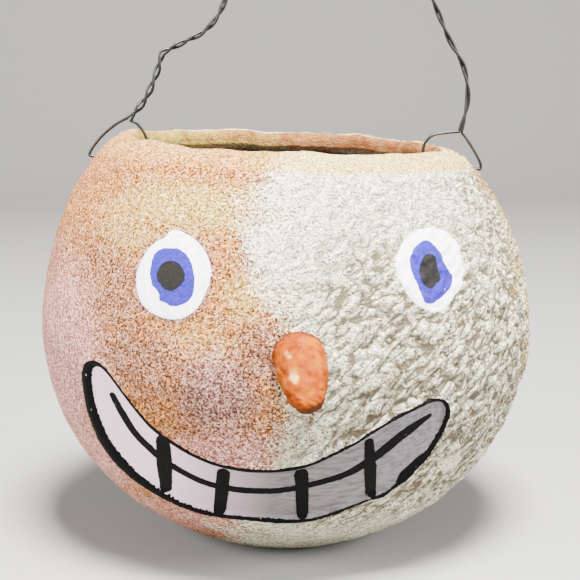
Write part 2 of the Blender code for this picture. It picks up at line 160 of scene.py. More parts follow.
# Each coat of the eyes, as (kind, slot, outlines, how far it lies outside the pulp, rings,
# shake of the brush), and how far the other coats lie outside the pulp and all go into it.
EYE_COATS = (
    ("eye_white", "eye_white_paint", EYE_WHITES, 0.10, 34, 0.25),
    ("iris", "iris_blue_paint", IRISES, 0.17, 18, 0.22),
    ("pupil", "pupil_paint", PUPILS, 0.24, 12, 0.20),
)
GRIN_FILM = 0.10
BITE_FILM = 0.17
OUTLINE_FILM = 0.18
BAR_FILM = 0.25
FILM_ROOT = 0.3
RAY_REACH = 5.0             # how far from the skin the ray that lays a coat starts
SEAM = 0.001                # points closer than this are one

# Carrot nose: route as (x, y, z, radius), from inside the wall to the tip, and the point past it.
NOSE_ROUTE = (
    (-2.9, -66.0, 71.2, 6.4), (-2.8, -73.5, 69.2, 6.8), (-2.4, -80.0, 65.9, 6.4),
    (-1.8, -85.2, 61.8, 5.2), (-1.3, -87.8, 59.4, 3.5), (-1.1, -88.7, 58.4, 1.3),
)
NOSE_POINT = (0.05, -0.4, -0.5)
NOSE_RINGS = 72
NOSE_SIDES = 96

# Bail: centre line from knot to knot and the opened end loops, as (x, z), close to the CAD's.
WIRE_DIAMETER = 0.86
WIRE_SIDES = 16
TWIST_RADII = (0.57, 0.44)  # at the loosely twisted left end and at the tight right end
TWISTS = 13
TWIST_TIGHTENING = 0.30     # how much closer the turns are at the left end
TWIST_LOOSENESS = 0.2       # how unevenly the strands hug each other at the left end
BAIL_ROUTE = (
    (-47.0, 125.9), (-42.2, 131.6), (-39.0, 138.4), (-37.3, 143.6), (-36.6, 145.4), (-34.8, 146.4),
    (-30.0, 148.8), (-24.5, 151.6), (-20.3, 156.2), (-17.0, 163.0), (-11.0, 175.0), (1.0, 187.0),
    (14.0, 191.5), (27.0, 187.5), (37.0, 175.5), (43.8, 161.0), (48.8, 149.8), (53.6, 141.0),
    (55.0, 131.5), (52.9, 121.6),
)
LEFT_OUTER_LOOP = ((-50.9, 124.4), (-54.8, 121.2), (-57.4, 118.2), (-58.7, 116.1), (-58.5, 115.2))
LEFT_INNER_LOOP = ((-44.6, 124.6), (-42.6, 122.0), (-41.5, 119.0), (-41.3, 116.2), (-42.6, 114.6))
RIGHT_OUTER_LOOP = ((55.7, 118.4), (58.2, 114.4), (59.4, 111.9), (59.3, 110.5), (58.5, 110.3))
RIGHT_INNER_LOOP = ((48.6, 121.4), (44.4, 120.6), (42.0, 118.0), (41.5, 114.4), (42.6, 111.2))
END_GAP = 0.15              # half the gap where the two strands meet in a wire hole

# Studio, in metres: softboxes as (name, place, size, watts, colour), all aimed at one point,
# the corners of the paper sweep, and the camera.
SOFTBOXES = (
    ("key", (0.05, -0.32, 0.88), 0.28, 82.0, (1.0, 0.985, 0.95)),
    ("left_fill", (-1.05, -0.5, 0.55), 0.6, 32.0, (1.0, 1.0, 1.0)),
    ("right_fill", (1.1, -0.5, 0.55), 0.6, 38.0, (1.0, 1.0, 1.0)),
)
LIGHT_AIM = (0.0, 0.0, 0.06)
AIR_LIGHT = 0.1
SWEEP_FRONT = -7.0
SWEEP_BACK = 0.9
SWEEP_BEND = 0.5
SWEEP_TOP = 2.2
SWEEP_HALF_WIDTH = 6.0
CAMERA_TURN = -4.7          # degrees to the right of the face
CAMERA_LEAN = -0.14         # degrees that it looks past the pot's middle
CAMERA_DOWN = 9.83
CAMERA_DISTANCE = 0.440
CAMERA_HEIGHT = 0.150
CAMERA_LENS = 90.6


# Curves and the head's shape.

def spline(points, spans, closed=False):
    """Smooth curve through the points, with so many spans between neighbours."""
    knots = [Vector(p) for p in points]
    if closed:
        knots = knots[-1:] + knots + knots[:2]
    else:
        knots = [2 * knots[0] - knots[1]] + knots + [2 * knots[-1] - knots[-2]]
    curve = []
    for i in range(1, len(knots) - 2):
        before, here, there, after = knots[i - 1:i + 3]
        for step in range(spans):
            t = step / spans
            curve.append(0.5 * (
                2 * here + (there - before) * t
                + (2 * before - 5 * here + 4 * there - after) * t ** 2
                + (3 * here - before - 3 * there + after) * t ** 3))
    if not closed:
        curve.append(knots[-2])
    return curve


def resample(curve, count):
    """The same curve with evenly spaced points."""
    lengths = [0.0]
    for a, b in zip(curve, curve[1:]):
        lengths.append(lengths[-1] + (b - a).length)
    stops = numpy.linspace(0.0, lengths[-1], count)
    columns = [numpy.interp(stops, lengths, [p[k] for p in curve]) for k in range(len(curve[0]))]
    return [Vector(values) for values in zip(*columns)]


OUTER_PROFILE = spline(OUTER_STATIONS, 12)
PROFILE_HEIGHTS = numpy.array([p[1] for p in reversed(OUTER_PROFILE)])
PROFILE_RADII = numpy.array([p[0] for p in reversed(OUTER_PROFILE)])


def outer_radius(height):
    return numpy.interp(height, PROFILE_HEIGHTS, PROFILE_RADII)


def skin_normal(height):
    """Outward direction of the round head's skin at a height, as (radial, up)."""
    step = 1.5
    slope = (outer_radius(height + step) - outer_radius(height - step)) / (2 * step)
    return Vector((1.0, -float(slope))).normalized()


def tilt_drop(x, height):
    """How far the tilted rim lowers a point: all of it at the rim, none at the base."""
    rise = min(max(height / HEAD_HEIGHT, 0.0), 1.1)
    return math.tan(math.radians(RIM_TILT)) * x * rise ** 2


def hand_form(point):
    """Moves a point of the round head to the hand-formed one: soft lumps and a tilted rim."""
    x, y, z = point
    rise = min(max(z / HEAD_HEIGHT, 0.0), 1.1)
    angle = math.atan2(x, -y)
    lumps = math.sin(2 * angle - 2.2) + 0.6 * math.sin(3 * angle + 1.2 + 2 * rise)
    swell = 1 + HAND_LUMP * lumps * math.sin(math.pi * min(rise, 1.0))
    x, y = x * swell, y * swell
    return Vector((x, y, z - tilt_drop(x, z)))


def face_point(x, z, out):
    """Point of the smooth head's front, seen at (x, z), so far outside the skin, in metres."""
    height = z + tilt_drop(x, z)
    radial, up = skin_normal(height)
    radius = float(outer_radius(height))
    angle = math.asin(x / radius)
    reach = radius + out * radial
    return MM * hand_form((reach * math.sin(angle), -reach * math.cos(angle), height + out * up))


def hinge_height(x):
    """Height of the tilted line through both wire holes."""
    return HOLE_HEIGHT - tilt_drop(x, HOLE_HEIGHT)


def ease(low, high, value):
    """Smooth step from 0 at low to 1 at high, for numbers and arrays."""
    t = numpy.clip((value - low) / (high - low), 0.0, 1.0)
    return t * t * (3 - 2 * t)


# Nodes and materials.

def paint(colour):
    """sRGB hex to linear RGBA."""
    parts = [int(colour[i:i + 2], 16) / 255 for i in (0, 2, 4)]
    linear = [c / 12.92 if c <= 0.04045 else ((c + 0.055) / 1.055) ** 2.4 for c in parts]
    return (*linear, 1.0)


def per(size):
    """Texture scale, in cycles per metre, for a feature of so many millimetres."""
    return 1000.0 / size


def add(tree, kind, sockets=None, output=None, stops=(), **settings):
    """Adds a node and gives one of its outputs, the first in use unless named. kind leaves out a
    ShaderNode at its start. sockets maps an input's number or name to a value, a colour as sRGB
    hex, or another node's output. A Mix node blends colours."""
    whole_kind = kind.startswith(("GeometryNode", "NodeGroup"))
    made = tree.nodes.new(kind if whole_kind else "ShaderNode" + kind)
    if kind == "Mix":
        made.data_type = "RGBA"
    for name, value in settings.items():
        setattr(made, name, value)
    for key, value in (sockets or {}).items():
        if isinstance(key, int):
            socket = made.inputs[key]
        else:
            socket = next(s for s in made.inputs if s.enabled and s.name == key)
        if isinstance(value, bpy.types.NodeSocket):
            tree.links.new(value, socket)
        else:
            socket.default_value = paint(value) if socket.type == "RGBA" else value
    for number, (position, colour) in enumerate(stops):
        elements = made.color_ramp.elements
        stop = elements[number] if number < 2 else elements.new(position)
        stop.position = position
        stop.color = paint(colour)
    if output:
        return made.outputs[output]
    return next((s for s in made.outputs if s.enabled), made)


def new_material(name):
    """A material with an empty tree, its Principled shader and its output."""
    material = bpy.data.materials.new(name)
    material.use_nodes = True
    tree = material.node_tree
    tree.nodes.clear()
    surface = add(tree, "BsdfPrincipled")
    add(tree, "OutputMaterial", {"Surface": surface})
    return material, tree, surface.node


def dress(tree, shader, colour, roughness, height, strength, distance):
    """Links colour, roughness and bump to the shader. distance is in millimetres."""
    tree.links.new(colour, shader.inputs["Base Color"])
    if isinstance(roughness, bpy.types.NodeSocket):
        tree.links.new(roughness, shader.inputs["Roughness"])
    else:
        shader.inputs["Roughness"].default_value = roughness
    bump = add(tree, "Bump", {"Height": height, "Strength": strength, "Distance": distance * MM})
    tree.links.new(bump, shader.inputs["Normal"])


def pebbles(tree, place):
    """Dried pulp's pebbly grain, 0.7 mm across with finer grit: 0 in its pits, 1 on its crowns."""
    grain = add(tree, "TexNoise", {
        "Vector": place, "Scale": per(0.72), "Detail": 2.0, "Roughness": 0.6, "Distortion": 0.4})
    fine = add(tree, "TexNoise", {
        "Vector": place, "Scale": per(0.36), "Detail": 2.0, "Roughness": 0.6})
    both = add(tree, "Math", {0: fine, 1: 0.55, 2: grain}, operation="MULTIPLY_ADD")
    return add(tree, "MapRange", {"Value": both, "From Min": 0.62, "From Max": 0.90})


def wrinkles(tree, place, cycles, slant):
    """Wrinkled, hand-laid pulp: rounded bumps drawn out along the slant, 1 on their crowns and
    0 in the sharp creases between them."""
    turn = add(tree, "CombineXYZ", {"Y": slant})
    turned = add(tree, "VectorRotate", {"Vector": place, "Rotation": turn},
                 rotation_type="EULER_XYZ")
    drawn = add(tree, "VectorMath", {0: turned, 1: (0.42, 0.75, 1.0)}, operation="MULTIPLY")
    ridged = add(tree, "TexNoise", {
        "Vector": drawn, "Scale": cycles, "Detail": 2.0, "Roughness": 0.6, "Offset": 1.0,
        "Gain": 1.0, "Distortion": 0.4}, noise_type="RIDGED_MULTIFRACTAL")
    return add(tree, "MapRange", {
        "Value": ridged, "From Min": 0.35, "From Max": 1.35, "To Min": 1.0, "To Max": 0.0})


def painted_pulp():
    """Painted paper pulp, laid and pinched by hand: fine pebbles under flat cream paint, with
    brown stain rubbed into the left side, so the skin reads dry, grainy and worn."""
    material, tree, shader = new_material("painted_paper_pulp")
    place = add(tree, "TexCoord", output="Object")
    masks = {name: add(tree, "Attribute", output="Fac", attribute_name=name)
             for name in SKIN_MASKS}
    height = pebbles(tree, place)
    folds = wrinkles(tree, place, per(2.1), SLANT)
    patch = add(tree, "TexNoise", {
        "Vector": place, "Scale": per(11.0), "Detail": 4.0, "Roughness": 0.65})
    mottle = add(tree, "TexNoise", {
        "Vector": place, "Scale": per(3.2), "Detail": 3.0, "Roughness": 0.6})

    # Stained skin, from its pits to its crowns, and its darker, paler and pinker parts; the pink
    # tone is also brightened as painted light, most on the left edge.
    tones = {}
    for name, stops in (
            ("stain", ((0.0, "3F220D"), (0.28, "7F4D26"), (0.6, "B66D32"), (1.0, "D18E4A"))),
            ("deep", ((0.0, "2E1C1A"), (0.3, "644138"), (0.65, "92665C"), (1.0, "B18A84"))),
            ("pale", ((0.0, "664515"), (0.25, "A37F36"), (0.55, "C6A959"), (1.0, "D2BC71"))),
            ("blush_and_painted_light", ((0.0, "7C453B"), (0.3, "C47D76"), (0.6, "E6A8A1"), (1.0, "FAC8C7"))),
            ("cream", ((0.0, "6A6450"), (0.16, "BDB69A"), (0.32, "F2EDD2"), (1.0, "FDFBDA")))):
        tones[name] = add(tree, "ValToRGB", {"Fac": height}, stops=stops)
    skin = tones["stain"]
    for name in ("deep", "pale", "blush_and_painted_light"):
        ragged = add(tree, "Math", {0: mottle, 1: 0.9, 2: masks[name]}, operation="MULTIPLY_ADD")
        share = add(tree, "MapRange", {
            "Value": ragged, "From Min": 0.3, "From Max": 1.45}, interpolation_type="SMOOTHSTEP")
        skin = add(tree, "Mix", {"Factor": share, "A": skin, "B": tones[name]})

    # Olive dust and painted shade lie between the wrinkles of the clean side and in its deep creases.
    dust_and_shade = add(tree, "MapRange", {"Value": folds, "From Max": 0.55, "To Min": 0.85, "To Max": 0.0})
    creased_dust_and_shade = add(tree, "Math", {0: masks["crevice"], 1: 0.55, 2: dust_and_shade}, operation="MULTIPLY_ADD")
    dust_and_shade_share = add(tree, "Math", {0: creased_dust_and_shade, 1: masks["crumple"]}, operation="MULTIPLY")
    clean = add(tree, "Mix", {"Factor": dust_and_shade_share, "A": tones["cream"], "B": "6C6250"})

    # The stain ends in speckles: it fades over pebbles and patches, not along a line.
    ragged = add(tree, "Math", {0: patch, 1: 1.6, 2: masks["stain"]}, operation="MULTIPLY_ADD")
    speckled = add(tree, "Math", {0: height, 1: -0.35, 2: ragged}, operation="MULTIPLY_ADD")
    share = add(tree, "MapRange", {
        "Value": speckled, "From Min": 0.72, "From Max": 1.35}, interpolation_type="SMOOTHSTEP")
    skin = add(tree, "Mix", {"Factor": share, "A": clean, "B": skin})

    # A smoother tan wash below the rim, and the cut lip: tan on the left, terracotta on the right.
    wash = add(tree, "ValToRGB", {"Fac": height}, stops=(
        (0.0, "8F6C2D"), (0.35, "BF9D50"), (1.0, "D8C170")))
    side = add(tree, "SeparateXYZ", {0: place}, output="X")
    reddened = add(tree, "Math", {0: patch, 1: 40 * MM, 2: side}, operation="MULTIPLY_ADD")
    lip_side = add(tree, "MapRange", {
        "Value": reddened, "From Min": -10 * MM, "From Max": 34 * MM},
        interpolation_type="SMOOTHSTEP")
    streak_place = add(tree, "Mapping", {"Vector": place, "Scale": (0.3, 0.3, 1.4)})
    streaks = add(tree, "TexNoise", {
        "Vector": streak_place, "Scale": per(1.6), "Detail": 3.0, "Roughness": 0.6})
    worn_lip = add(tree, "Math", {0: mottle, 1: 1.6, 2: streaks}, operation="MULTIPLY_ADD")
    lip_share = add(tree, "MapRange", {"Value": worn_lip, "From Min": 0.95, "From Max": 1.65})
    lip_tan, lip_red = (
        add(tree, "Mix", {"Factor": lip_share, "A": rubbed, "B": whole})
        for rubbed, whole in (("795424", "A69247"), ("70391A", "926B43")))
    lip = add(tree, "Mix", {"Factor": lip_side, "A": lip_tan, "B": lip_red})
    # Dark pinholes here and there outside, and inside a brown wash over bare pulp, darkened further
    # as painted shade of the hollow.
    cells = add(tree, "TexVoronoi", {"Vector": place, "Scale": per(6.0)})
    pinhole = add(tree, "MapRange", {
        "Value": cells, "From Min": 0.045, "From Max": 0.08, "To Min": 0.75, "To Max": 0.0})
    bare = add(tree, "Mix", {"Factor": mottle, "A": "1B0602", "B": "331304"})
    for share, over in ((masks["wash"], wash), (masks["lip"], lip), (pinhole, "5A4A38"),
                        (masks["inside"], bare)):
        skin = add(tree, "Mix", {"Factor": share, "A": skin, "B": over})

    folded = add(tree, "Math", {0: folds, 1: masks["crumple"]}, operation="MULTIPLY")
    relief = add(tree, "Math", {0: folded, 1: 2.0, 2: height}, operation="MULTIPLY_ADD")
    strength = add(tree, "MapRange", {"Value": masks["calm"], "To Min": 1.0, "To Max": 0.25})
    rough = add(tree, "MapRange", {"Value": height, "To Min": 0.95, "To Max": 0.8})
    dress(tree, shader, skin, rough, relief, strength, 0.65)
    shader.inputs["Specular IOR Level"].default_value = 0.1
    return material


def brushed_paint(name, main, streak, under, roughness, gloss, stroke=(1.0, 1.0), chips=0.0,
                  grain=0.5, painted_light_colour=None):
    """Acrylic craft paint laid with a small brush over pulp: a thin satin film with fine
    streaks along the stroke, the pulp's grain showing through, and bare chips on its crowns.
    The last argument, if given, colours its left end at the face's left: painted light, brighter
    where that end of the grin is lit."""
    material, tree, shader = new_material(name)
    place = add(tree, "TexCoord", output="Object")
    drawn = add(tree, "Mapping", {"Vector": place, "Scale": (stroke[0], 1.0, stroke[1])})
    streaks = add(tree, "TexNoise", {
        "Vector": drawn, "Scale": per(1.0), "Detail": 3.0, "Roughness": 0.6})
    height = pebbles(tree, place)
    spread = add(tree, "MapRange", {"Value": streaks, "From Min": 0.4, "From Max": 0.66})
    body = add(tree, "Mix", {"Factor": spread, "A": main, "B": streak})
    # Painted light: the grin's left end is brighter, fading in streaks towards its middle.
    if painted_light_colour:
        across = add(tree, "SeparateXYZ", {0: place}, output="X")
        streaky_across = add(tree, "Math", {0: streaks, 1: -16 * MM, 2: across}, operation="MULTIPLY_ADD")
        painted_light_share = add(tree, "MapRange", {
            "Value": streaky_across, "From Min": -17 * MM, "From Max": -47 * MM, "To Max": 0.85})
        body = add(tree, "Mix", {"Factor": painted_light_share, "A": body, "B": painted_light_colour})
    flecks = add(tree, "TexNoise", {
        "Vector": place, "Scale": per(0.8), "Detail": 1.0, "Roughness": 0.5})
    chip = add(tree, "MapRange", {
        "Value": flecks, "From Min": 0.74 - chips, "From Max": 0.77 - chips})
    colour = add(tree, "Mix", {"Factor": chip, "A": body, "B": under})
    relief = add(tree, "Math", {0: height, 1: grain, 2: streaks}, operation="MULTIPLY_ADD")
    dress(tree, shader, colour, roughness, relief, 0.7, 0.16)
    shader.inputs["Specular IOR Level"].default_value = gloss
    return material


def carrot_paint():
    """Orange craft paint over a modelled pulp carrot: pale on its crown, rubbed paint and painted
    highlight both; dark brown under the tip and round the root, soil and painted shade both."""
    material, tree, shader = new_material("carrot_orange_craft_paint")
    place = add(tree, "TexCoord", output="Object")
    worn = add(tree, "Attribute", output="Fac", attribute_name="worn")
    soil_and_shade = add(tree, "Attribute", output="Fac", attribute_name="soil_and_shade")
    cloud = add(tree, "TexNoise", {
        "Vector": place, "Scale": per(3.4), "Detail": 3.0, "Roughness": 0.6})
    grain = add(tree, "TexNoise", {
        "Vector": place, "Scale": per(0.8), "Detail": 3.0, "Roughness": 0.6})
    orange = add(tree, "ValToRGB", {"Fac": cloud}, stops=(
        (0.3, "612300"), (0.5, "7A3400"), (0.7, "8C4D06")))
    # Two pale spots on the crown: rubbed paint, brightened as painted highlight.
    rub_and_highlight = add(tree, "Math", {0: cloud, 1: 1.0, 2: worn}, operation="MULTIPLY_ADD")
    rub_and_highlight_share = add(tree, "MapRange", {
        "Value": rub_and_highlight, "From Min": 0.8, "From Max": 1.4, "To Max": 0.6},
        interpolation_type="SMOOTHSTEP")
    rubbed = add(tree, "Mix", {"Factor": rub_and_highlight_share, "A": orange, "B": "D8AC64"})
    # Darker under the tip and round the root: partly soil, partly painted shade.
    soil_and_shade_grain = add(tree, "Math", {0: grain, 1: 0.8, 2: soil_and_shade}, operation="MULTIPLY_ADD")
    soil_and_shade_share = add(tree, "MapRange", {
        "Value": soil_and_shade_grain, "From Min": 0.7, "From Max": 1.3, "To Max": 0.85},
        interpolation_type="SMOOTHSTEP")
    colour = add(tree, "Mix", {"Factor": soil_and_shade_share, "A": rubbed, "B": "34180A"})
    dress(tree, shader, colour, 0.7, grain, 0.6, 0.22)
    shader.inputs["Specular IOR Level"].default_value = 0.06
    return material


def annealed_wire():
    """Annealed steel binding wire, drawn and heat-blackened: dark oxide with a soft grey shine
    and faint scale along it."""
    material, tree, shader = new_material("black_annealed_steel_wire")
    place = add(tree, "TexCoord", output="Object")
    scale = add(tree, "TexNoise", {
        "Vector": place, "Scale": per(1.6), "Detail": 4.0, "Roughness": 0.6})
    colour = add(tree, "Mix", {"Factor": scale, "A": "1A1817", "B": "484543"})
    rough = add(tree, "MapRange", {"Value": scale, "To Min": 0.3, "To Max": 0.55})
    dress(tree, shader, colour, rough, scale, 0.3, 0.03)
    shader.inputs["Metallic"].default_value = 0.9
    return material


def studio_paper():
    """Matt seamless studio paper."""
    material, _, shader = new_material("studio_sweep_paper")
    shader.inputs["Base Color"].default_value = paint("8C8B89")
    shader.inputs["Roughness"].default_value = 0.9
    return material


# Mesh helpers.

def link(name, mesh):
    piece = bpy.data.objects.new(name, mesh)
    bpy.context.scene.collection.objects.link(piece)
    return piece


def grid_faces(columns, rows, closed):
    """Faces of a grid of points numbered row by row, outward for rows that run downwards."""
    spans = columns if closed else columns - 1
    faces = []
    for row in range(rows - 1):
        for i in range(spans):
            j = (i + 1) % columns
            faces.append((row * columns + i, (row + 1) * columns + i,
                          (row + 1) * columns + j, row * columns + j))
    return faces


def baked(piece):
    """Turns a piece's modifiers into its plain mesh."""
    depsgraph = bpy.context.evaluated_depsgraph_get()
    mesh = bpy.data.meshes.new_from_object(piece.evaluated_get(depsgraph))
    piece.modifiers.clear()
    old = piece.data
    piece.data = mesh
    mesh.name = piece.name
    bpy.data.meshes.remove(old)


def sealed(name, shape, mesh=None):
    """Merges a shape's seams, turns its faces outward and makes a piece of it."""
    bmesh.ops.remove_doubles(shape, verts=shape.verts, dist=SEAM * MM)
    bmesh.ops.recalc_face_normals(shape, faces=shape.faces)
    mesh = mesh or bpy.data.meshes.new(name)
    shape.to_mesh(mesh)
    shape.free()
    return link(name, mesh)


def shell(name, verts, faces):
    """A closed piece from its points and faces."""
    shape = bmesh.new()
    corners = [shape.verts.new(place) for place in verts]
    for face in faces:
        shape.faces.new([corners[i] for i in face])
    return sealed(name, shape)


def write_masks(mesh, masks):
    """Stores how much of each mask every point has."""
    for name, values in masks.items():
        layer = mesh.attributes.new(name, "FLOAT", "POINT")
        layer.data.foreach_set("value", numpy.asarray(values, dtype=numpy.float32))


def stand_in(piece, body, node):
    """Puts a piece on its body in the place of its CAD node."""
    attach(piece, body)
    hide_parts(node)


def set_inputs(modifier, values):
    """Sets a Geometry Nodes modifier's inputs by their names."""
    for item in modifier.node_group.interface.items_tree:
        if item.item_type == "SOCKET" and item.in_out == "INPUT" and item.name in values:
            modifier[item.identifier] = values[item.name]


def new_tree(name, inputs):
    """An empty Geometry Nodes tree with named inputs and their defaults: a whole number makes
    an integer input, and None a material input."""
    kinds = {float: "NodeSocketFloat", int: "NodeSocketInt", type(None): "NodeSocketMaterial"}
    tree = bpy.data.node_groups.new(name, "GeometryNodeTree")
    tree.interface.new_socket("Geometry", in_out="INPUT", socket_type="NodeSocketGeometry")
    for label, default in inputs.items():
        socket = tree.interface.new_socket(label, in_out="INPUT", socket_type=kinds[type(default)])
        if default is not None:
            socket.default_value = default
    tree.interface.new_socket("Geometry", in_out="OUTPUT", socket_type="NodeSocketGeometry")
    return tree


def close_tree(tree, geometry, material):
    """Ends a tree in Realize Instances and Set Material."""
    real = add(tree, "GeometryNodeRealizeInstances", {0: geometry})
    dressed = add(tree, "GeometryNodeSetMaterial", {"Geometry": real, "Material": material})
    add(tree, "NodeGroupOutput", {0: dressed})


def pulp_relief_tree():
    """Raises hand-laid pulp on a skin: sharp wrinkles where the crumple mask says, and soft
    lumps and grain over all that is grained. Stores how deep in a crease each point lies."""
    tree = new_tree("pulp_relief", {
        "Wrinkle Width": 3.4 * MM, "Wrinkle Height": 0.7 * MM, "Grain Width": 2.6 * MM,
        "Grain Height": 0.3 * MM, "Lump Width": 15.0 * MM, "Lump Height": 0.9 * MM,
        "Slant": SLANT, "Material": None})
    given = add(tree, "NodeGroupInput").node.outputs
    place = add(tree, "GeometryNodeInputPosition")
    normal = add(tree, "GeometryNodeInputNormal")
    crumple, grained, lumpy = (
        add(tree, "GeometryNodeInputNamedAttribute", {"Name": name})
        for name in ("crumple", "grained", "lumpy"))

    wrinkle_cycles = add(tree, "Math", {0: 1.0, 1: given["Wrinkle Width"]}, operation="DIVIDE")
    crown = wrinkles(tree, place, wrinkle_cycles, given["Slant"])
    below = add(tree, "Math", {0: crown, 1: 1.0}, operation="SUBTRACT")
    wrinkled = add(tree, "Math", {0: below, 1: crumple}, operation="MULTIPLY")
    out = add(tree, "Math", {0: wrinkled, 1: given["Wrinkle Height"]}, operation="MULTIPLY")
    for mask, width, height, middle in (
            (grained, "Grain Width", "Grain Height", 0.7),
            (lumpy, "Lump Width", "Lump Height", 0.6)):
        cycles = add(tree, "Math", {0: 1.0, 1: given[width]}, operation="DIVIDE")
        swell = add(tree, "TexNoise", {
            "Vector": place, "Scale": cycles, "Detail": 1.0, "Roughness": 0.5})
        lift = add(tree, "Math", {0: swell, 1: middle}, operation="SUBTRACT")
        masked = add(tree, "Math", {0: lift, 1: mask}, operation="MULTIPLY")
        out = add(tree, "Math", {0: masked, 1: given[height], 2: out}, operation="MULTIPLY_ADD")
    shift = add(tree, "VectorMath", {0: normal, "Scale": out}, operation="SCALE")

    depth = add(tree, "MapRange", {
        "Value": crown, "From Min": 0.1, "From Max": 0.5, "To Min": 1.0, "To Max": 0.0})
    marked = add(tree, "GeometryNodeStoreNamedAttribute", {
        "Geometry": given["Geometry"], "Name": "crevice", "Value": depth})
    moved = add(tree, "GeometryNodeSetPosition", {"Geometry": marked, "Offset": shift})
    close_tree(tree, moved, given["Material"])
    return tree


def raise_relief(piece, tree, material, **sizes):
    """Runs the relief tree on a piece and keeps the plain mesh."""
    modifier = piece.modifiers.new("relief", "NODES")
    modifier.node_group = tree
    values = {label.replace("_", " ").title(): size for label, size in sizes.items()}
    values["Material"] = material
    set_inputs(modifier, values)
    baked(piece)


# The head.

def turn_angles():
    """Angles of the head's columns, in radians from the front, closest where TURN_STEPS says."""
    angles = [-180.0]
    while angles[-1] < 180.0:
        angles.append(angles[-1] + float(numpy.interp(angles[-1], *zip(*TURN_STEPS))))
    stretch = 360.0 / (angles[-1] + 180.0)
    return [math.radians((a + 180.0) * stretch - 180.0) for a in angles[:-1]]


def skin_rows():
    """Points down the outer profile, as close as SKIN_STEPS says for their height."""
    fine = resample(OUTER_PROFILE, 2000)
    step = (fine[1] - fine[0]).length
    rows = [fine[0]]
    walked = 0.0
    for point in fine[1:]:
        walked += step
        if walked >= float(numpy.interp(point[1], *zip(*SKIN_STEPS))):
            rows.append(point)
            walked = 0.0
    rows[-1] = fine[-1]
    return rows


def wall_section():
    """The pot wall's section as (radius, height), from the inner floor, over the lip to the base."""
    outside = skin_rows()
    length = sum((b - a).length for a, b in zip(outside, outside[1:]))
    coarse = resample(OUTER_PROFILE, round(length / INSIDE_STEP) + 1)
    inside = [p - WALL * skin_normal(p[1]) for p in coarse if FLOOR - 4 < p[1] < LIP_BAND_LOW]
    lip = spline(((OPENING_RADIUS, LIP_BAND_LOW), (OPENING_RADIUS, 117.2),
                  (OPENING_RADIUS + 1.2, 119.0), outside[0]), 4)
    under_lip = inside[0].lerp(lip[0], 0.5)
    floor = resample([Vector((0.0, FLOOR)), Vector((18.0, FLOOR + 0.3)), inside[-1]], 9)
    base = resample([outside[-1], Vector((0.0, 0.0))], 7)[1:]
    return floor[:-1] + inside[::-1] + [under_lip] + lip[:-1] + outside + base


def rim_wave(x, y, z):
    """How far the hand-pinched rim rises above the turned one."""
    angle = math.atan2(x, -y)
    wave = 0.5 * math.sin(3 * angle + 0.4) + 0.7 * math.sin(7 * angle + 2.0)
    wave += 0.6 * math.sin(13 * angle + 1.1) + 0.3 * math.sin(23 * angle)
    return RIM_WAVE * wave * float(ease(108.0, 118.5, z))


def smooth_head():
    """The whole pot as one closed, fine, hand-formed shell without relief."""
    section = wall_section()
    angles = turn_angles()
    verts = []
    for radius, height in section[1:-1]:
        for angle in angles:
            x, y = radius * math.sin(angle), -radius * math.cos(angle)
            verts.append(MM * hand_form((x, y, height + rim_wave(x, y, height))))
    columns = len(angles)
    rows = len(section) - 2
    faces = grid_faces(columns, rows, closed=True)
    for row, pole, flip in ((0, section[0], False), (rows - 1, section[-1], True)):
        middle = len(verts)
        verts.append(MM * Vector((0.0, 0.0, pole[1])))
        for i in range(columns):
            pair = (row * columns + i, row * columns + (i + 1) % columns)
            faces.append((middle, *pair[::-1]) if flip else (middle, *pair))
    mesh = bpy.data.meshes.new("pulp_head")
    mesh.from_pydata(verts, [], faces)
    return link("pulp_head", mesh)


def drill_wire_holes(head):
    """Cuts the two wire holes below the rim."""
    slope = math.atan2(hinge_height(1.0) - hinge_height(0.0), 1.0)
    along = Matrix.Rotation(math.pi / 2 - slope, 4, "Y")
    drills = []
    for x in (-HOLE_MIDDLE, HOLE_MIDDLE):
        place = Matrix.Translation(MM * Vector((x, 0.0, hinge_height(x))))
        shape = bmesh.new()
        bmesh.ops.create_cone(
            shape, cap_ends=True, segments=20, radius1=HOLE_RADIUS * MM, radius2=HOLE_RADIUS * MM,
            depth=DRILL_LENGTH * MM, matrix=place @ along)
        mesh = bpy.data.meshes.new("drill")
        shape.to_mesh(mesh)
        shape.free()
        drill = link("drill", mesh)
        drills.append(drill)
        boolean = head.modifiers.new("drill", "BOOLEAN")
        boolean.solver = "EXACT"
        boolean.object = drill
    bpy.context.view_layer.update()
    baked(head)
    for drill in drills:
        bpy.data.objects.remove(drill)


def mouth_ring(count):
    """The grin's edge as a closed ring, in the order of MOUTH_EDGE."""
    ring = spline(MOUTH_EDGE, 10, closed=True)
    start = min(range(len(ring)), key=lambda i: (ring[i] - Vector(MOUTH_EDGE[0])).length)
    ring = ring[start:] + ring[:start]
    return resample(ring + ring[:1], count + 1)[:-1]


def depth_in_ring(ring, x, z):
    """Distance of points inside a closed ring on the front view, negative outside."""
    distance = numpy.full(x.shape, 1e9)
    inside = numpy.zeros(x.shape, dtype=bool)
    for a, b in zip(ring, ring[1:] + ring[:1]):
        ax, az, bx, bz = a[0], a[1], b[0], b[1]
        long2 = (bx - ax) ** 2 + (bz - az) ** 2
        t = numpy.clip(((x - ax) * (bx - ax) + (z - az) * (bz - az)) / long2, 0.0, 1.0)
        off = numpy.hypot(x - ax - t * (bx - ax), z - az - t * (bz - az))
        distance = numpy.minimum(distance, off)
        if az != bz:
            crosses = (az > z) != (bz > z)
            inside ^= crosses & (x < ax + (z - az) / (bz - az) * (bx - ax))
    return numpy.where(inside, distance, -distance)


